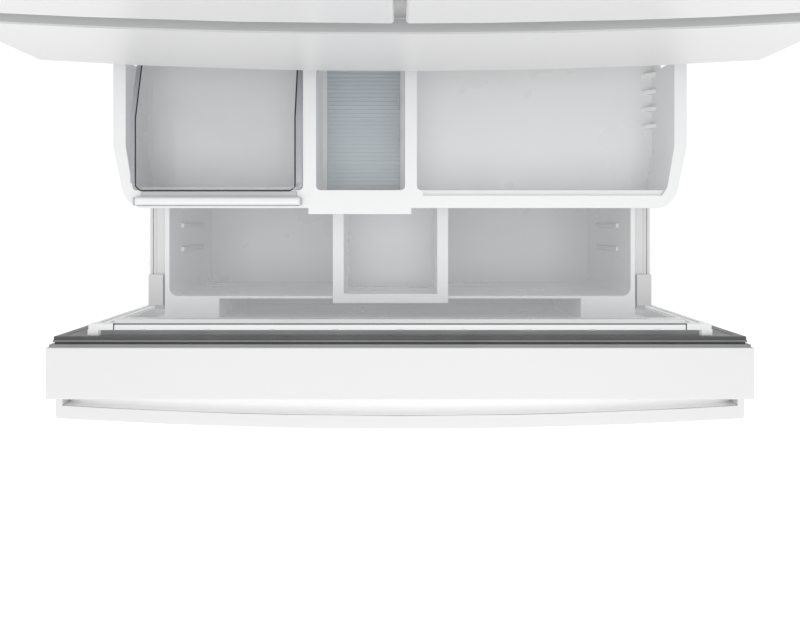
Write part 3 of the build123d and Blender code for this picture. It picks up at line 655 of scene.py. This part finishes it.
def drawer_slides():
    """Folded telescopic rails of the freezer drawer with their end blocks."""
    rails = Shape()
    blocks = Shape()
    front, rear = RAILS.y0 + 20, RAILS.y1
    for side in (-1, 1):
        channel = [(343, 370), (357, 370), (357, 373), (345.6, 373), (345.6, 398.6),
                   (355.4, 398.6), (355.4, 395.8), (364.6, 395.8), (364.6, 400.6),
                   (360.4, 400.6), (360.4, 397.6), (358.4, 397.6), (358.4, 403.2),
                   (355.4, 403.2), (355.4, 402), (343, 402)]
        rails.prism([(side * x, z) for x, z in channel], "y", front + 4, rear)
        blocks.side_box(side, 343.4, 364.8, front + 4.4, front + 50, 396, 409.4)
        blocks.side_box(side, 343.2, 356.8, front - 1, front + 6, 372, 404)
    rails.piece("freezer_rail_channels", "freezer_drawer", "zinc_steel", 0.35, RAIL_PAINT,
                ("freezer_rails",))
    blocks.piece("freezer_rail_blocks", "freezer_drawer", "zinc_steel", 1.0, RAIL_PAINT)
    balls = Shape()
    for side in (-1, 1):
        for k in range(9):
            y = RAILS.y0 + 70 + 38 * k
            for z in (376.4, 395.0):
                balls.tube([(side * 350.4, y - 3, z), (side * 350.4, y + 3, z)], 2.2, 10)
    balls.piece("freezer_rail_rollers", "freezer_drawer", "zinc_steel", 0.3)


# ---- baskets -------------------------------------------------------------------------

def lower_basket_ribs():
    """Upright ribs on the side walls of the deep bin, in a brighter white than the bin: painted light on
    their lit faces.
    """
    ribs = Shape()
    half = LOWER.x1 - 7
    for side in (-1, 1):
        for k in range(9):
            y = LOWER.y0 + 98.5 + 36 * k
            ribs.side_box(side, half - 4, half + 1, y, y + 7.5, 200, 338)
    ribs.piece("lower_basket_ribs", "freezer_drawer", "basket_plastic", 1.2, PAINTED_LIGHT_WHITE)


def upper_basket_gussets():
    """Gussets at the foot of the right bay's outer wall, in a brighter white than the basket: painted
    light on their lit faces.
    """
    feet = Shape()
    for k in range(4):
        y = UPPER.y0 + 123 + 24.4 * k
        feet.prism([(346, 420.5), (362.5, 420.5), (362.5, 442), (354, 434)], "y", y, y + 6)
    feet.piece("upper_basket_gussets", "upper_basket", "basket_plastic", 0.8, PAINTED_LIGHT_WHITE)


def ribbed_floor():
    """Clear floor of the middle bay, with fine cross ribs."""
    floor = Shape()
    span = CLEAR_FLOOR
    floor.box(span.x0, span.x1, span.y0, span.y1, span.z0, span.z0 + 2.4)
    count = int((span.y1 - span.y0 - 8) / 5.6)
    for k in range(count):
        y = span.y0 + 4 + 5.6 * k
        floor.box(span.x0 + 1, span.x1 - 1, y, y + 2.2, span.z0 + 2, span.z0 + 5.2)
    for k in (0, 1):
        y = span.y0 + 75 + 46 * k
        floor.box(span.x1 - 3.4, span.x1 - 0.6, y, y + 13, span.z0 + 2, span.z0 + 12)
    floor.piece("basket_floor_ribs", "upper_basket", "clear_plastic", 0.4, CLEAR_BLUE,
                ("basket_floor",))


def ice_bin_rim():
    """Rim flanges, the dark edge seal, a black line under the handle that paints the shadow of its gap,
    and the white handle bar of the ice bin.
    """
    span = ICE_BIN
    wall = span.y0 + 20.5
    top = 526.0
    bend, drop, low = wall + 94, wall + 168, wall + 202
    side_line = [(wall + 9, top), (bend, top), (drop, top - 29), (low, 452.0)]
    flange = Shape()
    for x0, x1 in ((span.x0 + 0.4, span.x0 + 6.4), (span.x1 - 8.6, span.x1 - 0.4)):
        outline = [(y, z - 1.6) for y, z in side_line]
        outline += [(y, z + 0.6) for y, z in reversed(side_line)]
        flange.prism(outline, "x", x0, x1)
    flange.piece("ice_bin_flanges", "upper_basket", "clear_plastic", 0.4, CLEAR_GREY)
    left, right = span.x0 + 7.4, span.x1 - 9.4
    path = [(left, y, z + 0.9) for y, z in reversed(side_line)]
    path += [(left, wall + 4, top + 0.9), (left + 7, wall - 1.6, top + 3.4),
             (right - 6, wall - 1.6, top + 3.4), (right, wall + 3, top + 0.9)]
    path += [(right, y, z + 0.9) for y, z in side_line]
    edge = Shape()
    edge.tube(rounded_path(path, 2.2, 3), 0.95, 8)
    # black line along the foot of the handle bar: painted shadow of the gap beneath it
    edge.tube([(span.x0 + 9, span.y0 - 0.3, 525.6), (span.x1 - 4, span.y0 - 0.3, 525.6)], 0.6, 8)
    edge.piece("ice_bin_edge_seal_and_shadow_line", "upper_basket", "gasket_rubber", 0.0, BLACK_RUBBER)
    bar = Shape()
    bar.box(span.x0 + 7.2, span.x1 - 1.6, span.y0 - 0.4, span.y0 + 10.2, 525.3, 534.4)
    bar.piece("ice_bin_handle", "upper_basket", "basket_plastic", 3.0)
    neck = Shape()
    neck.box(span.x0 + 15, span.x1 - 7, span.y0 + 10.4, wall - 3.0, 525.3, 529.4)
    neck.box(span.x0 + 12, span.x1 - 6, span.y0 + 9.8, span.y0 + 11.8, 525.3, 531.0)
    for x in (span.x0 + 5.8, span.x1 - 1.8):
        neck.box(x, x + 1.4, span.y0 - 0.2, span.y0 + 9.8, 525.6, 533.0)
    neck.piece("ice_bin_neck", "upper_basket", "clear_plastic", 0.5, NECK_GREY)


# ---- doors and cabinet ---------------------------------------------------------------

def flap_face():
    """Grey face of the flap between the doors, with shallow lines; its grey is painted shade of the deep
    gap between the doors.
    """
    span = Span("mullion_flap")
    face = Shape()
    face.box(-7.4, 3.4, span.y0 + 1.2, span.y0 + 2.4, span.z0 + 2, span.z1 - 2)
    for k in range(9):
        z = span.z0 + 6 + 96 * k
        face.box(-6.6, 0.1, span.y0 - 0.2, span.y0 + 2, z, z + 88)
    face.box(-6.6, -5.0, span.y0 - 0.5, span.y0 + 2, span.z0 + 3, span.z1 - 3)
    face.piece("flap_face", "mullion_flap", "grey_plastic", 0.5, FLAP_SHADE_GREY)


def door_inside(side, body):
    """Steps on a door's inner panel, and a bright rail and ribs on each door bin."""
    bins = Span(body + "_bins")
    panel = Span(body + "_liner")
    steps = Shape()
    inner, outer = 60.0, 398.0
    for level in range(DOOR_BINS):
        z = bins.z0 + DOOR_BIN_STEP * level
        for x in (inner, outer - 12):
            for low, high in ((z - 22, z - 12), (z + 100, z + 106)):
                steps.side_box(side, x - 1.2, x + 13.2, panel.y0 + 3, panel.y1 + 0.6, low, high)
    for low in (panel.z0 + 40, panel.z1 - 66):
        steps.side_box(side, inner, outer, panel.y0 + 2, panel.y0 + 8, low, low + 6)
    steps.piece(body + "_panel_steps", body, "liner_plastic", 1.0)
    rails = Shape()
    for level in range(DOOR_BINS):
        z = bins.z0 + DOOR_BIN_STEP * level + 88
        path = [(bins.x0 - 0.6, bins.y0 + 8, z), (bins.x0 - 0.6, bins.y1 + 1.2, z),
                (bins.x1 + 0.6, bins.y1 + 1.2, z), (bins.x1 + 0.6, bins.y0 + 8, z)]
        rails.tube(rounded_path(path, 9, 5), 2.6, 12)
    rails.piece(body + "_bin_rails", body, "zinc_steel", 0.0)
    marks = Shape()
    for level in range(DOOR_BINS):
        z = bins.z0 + DOOR_BIN_STEP * level
        for k in range(4):
            x = bins.x0 + 45 + 74 * k
            marks.box(x, x + 2.4, bins.y1 - 1, bins.y1 + 0.9, z + 8, z + 70)
    marks.piece(body + "_bin_ribs", body, "clear_plastic", 0.5)


def shelf_trims():
    """White front trim and rear stop on each glass shelf, and wall ledges beneath."""
    frames = Span("shelf_frames")
    glass = Span("glass_shelves")
    trims = Shape()
    for z in SHELF_LEVELS:
        trims.prism([(frames.y0 - 3, z - 9), (frames.y0 + 15, z - 9), (frames.y0 + 15, z - 1),
                     (frames.y0 + 12.6, z + 8.8), (frames.y0 - 1, z + 8.8)], "x",
                    frames.x0 + 4, frames.x1 - 4)
        trims.box(frames.x0 + 12, frames.x1 - 12, glass.y1 + 0.4, glass.y1 + 5, z - 4, z + 10)
    trims.piece("shelf_trims", "cabinet", "liner_plastic", 1.4)
    ledges = Shape()
    for z in LEDGE_LEVELS:
        for side in (-1, 1):
            ledges.side_box(side, 401.5, 406.6, frames.y0 + 20, 540, z - 16, z - 9.4)
    ledges.piece("wall_ledges", "cabinet", "liner_plastic", 1.6)


def interior_fittings():
    """Crisper fronts, control keys, the lamp frame and lines on the duct."""
    fronts = Shape()
    for side in (-1, 1):
        crisper = Span("left_crisper" if side < 0 else "right_crisper")
        fronts.box(crisper.x0 + 3, crisper.x1 - 3, crisper.y0 + 9.4, crisper.y0 + 13,
                   crisper.z1 - 34, crisper.z1 - 1)
        for k in range(6):
            x = crisper.x0 + 30 + 62 * k
            fronts.box(x, x + 3, crisper.y0 + 9.4, crisper.y0 + 12.4, crisper.z0 + 12,
                       crisper.z1 - 44)
    fronts.piece("crisper_fronts", "cabinet", "clear_plastic", 0.8, CLEAR_GREY)
    control = Span("control_panel")
    keys = Shape()
    for k in (-3, -2, -1, 1, 2, 3):
        keys.tube([(32 * k, control.y0 + 1, 1687), (32 * k, control.y0 - 1.4, 1687)], 6.5, 24)
    keys.box(-128, 128, control.y0 - 0.5, control.y0 + 2, 1676.4, 1677.8)
    keys.piece("control_keys", "cabinet", "grey_plastic", 0.5, KEY_GREY)
    lamp = Span("light_lens")
    frame_bars = Shape()
    for x0, x1, y0, y1 in ((lamp.x0 - 4, lamp.x1 + 4, lamp.y0 - 4, lamp.y0 + 2),
                           (lamp.x0 - 4, lamp.x1 + 4, lamp.y1 - 2, lamp.y1 + 4),
                           (lamp.x0 - 4, lamp.x0 + 2, lamp.y0 + 2, lamp.y1 - 2),
                           (lamp.x1 - 2, lamp.x1 + 4, lamp.y0 + 2, lamp.y1 - 2)):
        frame_bars.box(x0, x1, y0, y1, lamp.z0 - 1, lamp.z0 + 3)
    frame_bars.piece("lamp_frame", "cabinet", "liner_plastic", 0.7)
    duct = Span("air_duct")
    lines = Shape()
    for side in (-1, 1):
        lines.side_box(side, 60, 64, duct.y0 - 1.4, duct.y0 + 2, duct.z0 + 20, duct.z1 - 20)
    for k in range(6):
        z = duct.z0 + 36 + 90 * k
        lines.box(-53, 53, duct.y0 - 1.6, duct.y0 + 1, z - 2.4, z)
        lines.box(-53, 53, duct.y0 - 1.6, duct.y0 + 1, z + 16, z + 18.4)
    lines.piece("duct_lines", "cabinet", "liner_plastic", 0.7)


def rear_details():
    """Pressed ribs and screws on the back, and hoods over the machine cover's vents."""
    back = Span("back_panel")
    cover = Span("machine_cover")
    ribs = Shape()
    for x in (-300.0, -100.0, 100.0, 300.0):
        ribs.prism([(x - 16, back.y1 - 0.4), (x - 9, back.y1 + 2.4), (x + 9, back.y1 + 2.4),
                    (x + 16, back.y1 - 0.4)], "z", back.z0 + 90, back.z1 - 90)
    for z in (back.z0 + 12, back.z1 - 16):
        ribs.box(back.x0 + 8, back.x1 - 8, back.y1 - 0.4, back.y1 + 1.0, z, z + 5)
    ribs.piece("back_ribs", "cabinet", "plain_steel", 0.9)
    screws = Shape()
    for side in (-1, 1):
        for k in range(7):
            screws.screw(side * 436, back.y1, back.z0 + 30 + 232 * k, "y", 1)
        for z in (cover.z0 + 14, cover.z1 - 14):
            screws.screw(side * 434, cover.y1, z, "y", 1)
            screws.screw(side * 200, cover.y1, z, "y", 1)
    screws.piece("back_screws", "cabinet", "zinc_steel", 0.25)
    vents = Shape()
    for column in range(24):
        x = -380 + 20 * column
        for z in (110, 170):
            vents.prism([(cover.y1 - 0.6, z + 45), (cover.y1 + 2.6, z + 40),
                         (cover.y1 + 2.6, z + 37), (cover.y1 - 0.6, z + 43)], "x",
                        x + 0.4, x + 7.6)
    vents.piece("vent_hoods", "cabinet", "plain_steel", 0.2)


def machine_bay():
    """Condenser tubes and compressor piping behind the cover."""
    tubes = Shape()
    for y in (500.0, 530.0, 560.0, 590.0):
        path = []
        for k in range(5):
            z = 112 + 20 * k
            ends = [(87, y, z), (403, y, z)]
            path += ends if k % 2 == 0 else ends[::-1]
        tubes.tube(rounded_path(path, 9, 5), 3.0, 10)
    tubes.piece("condenser_tubes", "cabinet", "coil_aluminium", 0.0)
    pipes = Shape()
    pipes.tube(rounded_path([(-205, 520, 150), (-150, 520, 150), (-150, 520, 275),
                             (60, 520, 275), (60, 500, 275), (60, 500, 192), (87, 500, 192)],
                            16, 6), 3.2, 12)
    pipes.tube(rounded_path([(-205, 595, 130), (-130, 595, 130), (-130, 595, 282),
                             (-300, 595, 282), (-300, 470, 282)], 16, 6), 4.2, 12)
    pipes.piece("compressor_pipes", "cabinet", "coil_aluminium", 0.0, copper_pipe())
    can = Shape()
    cx, cy = COMPRESSOR_PLACE
    turns = [math.tau * k / 48 for k in range(49)]
    seam = [(cx + COMPRESSOR_GIRTH * math.cos(turn), cy + COMPRESSOR_GIRTH * math.sin(turn), 172)
            for turn in turns]
    can.tube(seam, 2.2, 8)
    can.box(-206, -176, 535, 575, 120, 175)
    for sx in (-80, 80):
        for sy in (-70, 70):
            can.tube([(cx + sx, cy + sy, 62.5), (cx + sx, cy + sy, 71)], 12, 20)
    can.piece("compressor_fittings", "cabinet", "black_paint", 0.8)


def case_details():
    """Screws of the hinge caps and the case's top, and the slats of the toe grille."""
    caps = Span("hinge_covers")
    screws = Shape()
    for side in (-1, 1):
        screws.screw(side * 423, -10, caps.z1 - 0.6, "z", 1, 4.5)
        for x in (-300, 0, 300):
            screws.screw(x + side * 40, CASE.y1 - 14, CASE.z1 - 0.2, "z", 1, 3.6)
    screws.piece("top_screws", "cabinet", "zinc_steel", 0.25)
    grille = Span("toe_grille")
    slats = Shape()
    for z in (28.4, 39.4, 50.4):
        slats.box(grille.x0 + 30, grille.x1 - 30, grille.y0 - 1.0, grille.y0 + 1.5, z - 1.2,
                  z + 0.8)
    slats.piece("toe_grille_slats", "cabinet", "grey_plastic", 0.3)


# Lighter rubber of the seal's rib: painted highlight on its crest.
RIB_HIGHLIGHT_RUBBER = gasket_rubber("rib_painted_highlight", (0.17, 0.17, 0.173), (0.21, 0.21, 0.213))
EDGE_RUBBER = gasket_rubber("edge_rubber", (0.2, 0.2, 0.203), (0.24, 0.24, 0.243))
# Rubber flap's grey, partly its own and partly painted shade of the recess it lies in.
FLAP_RUBBER_AND_SHADE = gasket_rubber("flap_rubber_and_shade", (0.2, 0.2, 0.205), (0.25, 0.25, 0.255))
BLACK_RUBBER = gasket_rubber("black_rubber", (0.012, 0.012, 0.013), (0.02, 0.02, 0.022))
PANEL_GREY = satin_plastic("panel_grey", (0.56, 0.565, 0.57), (0.62, 0.625, 0.63))
RAIL_PAINT = satin_plastic("rail_paint", (0.62, 0.62, 0.625), (0.7, 0.7, 0.705))
NECK_GREY = satin_plastic("neck_grey", (0.42, 0.425, 0.43), (0.5, 0.505, 0.51))
# A brighter copy of the white plastics and paint: painted light on pocket linings, bin ribs and gussets.
PAINTED_LIGHT_WHITE = satin_plastic("painted_light_white", (0.93, 0.93, 0.93), (0.95, 0.95, 0.95))
# Grey of the middle drawer's lip strip: painted shade cast by the shut doors.
LIP_SHADE_GREY = satin_plastic("lip_painted_shade", (0.46, 0.465, 0.47), (0.49, 0.495, 0.5))
# Grey of the face between the doors: painted shade of the deep gap.
FLAP_SHADE_GREY = satin_plastic("flap_painted_shade", (0.3, 0.3, 0.305), (0.35, 0.35, 0.355))
KEY_GREY = satin_plastic("key_grey", (0.22, 0.225, 0.23), (0.28, 0.285, 0.29))
CLEAR_BLUE = clear_plastic("clear_blue", (0.68, 0.76, 0.8), (0.76, 0.82, 0.86), 0.55)
CLEAR_GREY = clear_plastic("clear_grey", (0.42, 0.44, 0.47), (0.52, 0.54, 0.57), 0.6)

place_camera()
place_lights()
place_floor()
for node, part in frame["nodes"].items():
    part.data.materials.clear()
    part.data.materials.append(MATERIALS[SLOT_OF[node]])

ROUNDED = {
    "freezer_door_skin": 1.6, "middle_drawer_skin": 1.6, "left_door_skin": 1.6,
    "right_door_skin": 1.6, "upper_basket": 1.0, "lower_basket": 0.7, "basket_tray": 0.5,
    "ice_bin": 0.8, "freezer_door_liner": 2.0, "middle_drawer_liner": 1.5,
    "left_door_liner": 1.5, "right_door_liner": 1.5, "middle_drawer_bin": 1.0,
    "left_door_bins": 1.0, "right_door_bins": 1.0, "left_crisper": 1.0, "right_crisper": 1.0,
    "toe_grille": 0.5, "case_wrapper": 0.5, "machine_cover": 0.3, "shelf_frames": 1.0,
    "evaporator_cover": 0.6, "door_hinges": 0.6, "levelling_legs": 0.5, "compressor": 1.2,
}
for node, width in ROUNDED.items():
    refine(node, width)
for node in ("freezer_door_gasket", "middle_drawer_gasket", "left_door_gasket",
             "right_door_gasket"):
    door_seal(node)
pocket_lining("freezer_pocket_lining", "freezer_door_skin")
pocket_lining("middle_pocket_lining", "middle_drawer_skin")
middle_lip_shade_strip()
freezer_panel()
drawer_slides()
lower_basket_ribs()
upper_basket_gussets()
ribbed_floor()
ice_bin_rim()
flap_face()
door_inside(-1, "left_door")
door_inside(1, "right_door")
shelf_trims()
interior_fittings()
rear_details()
machine_bay()
case_details()
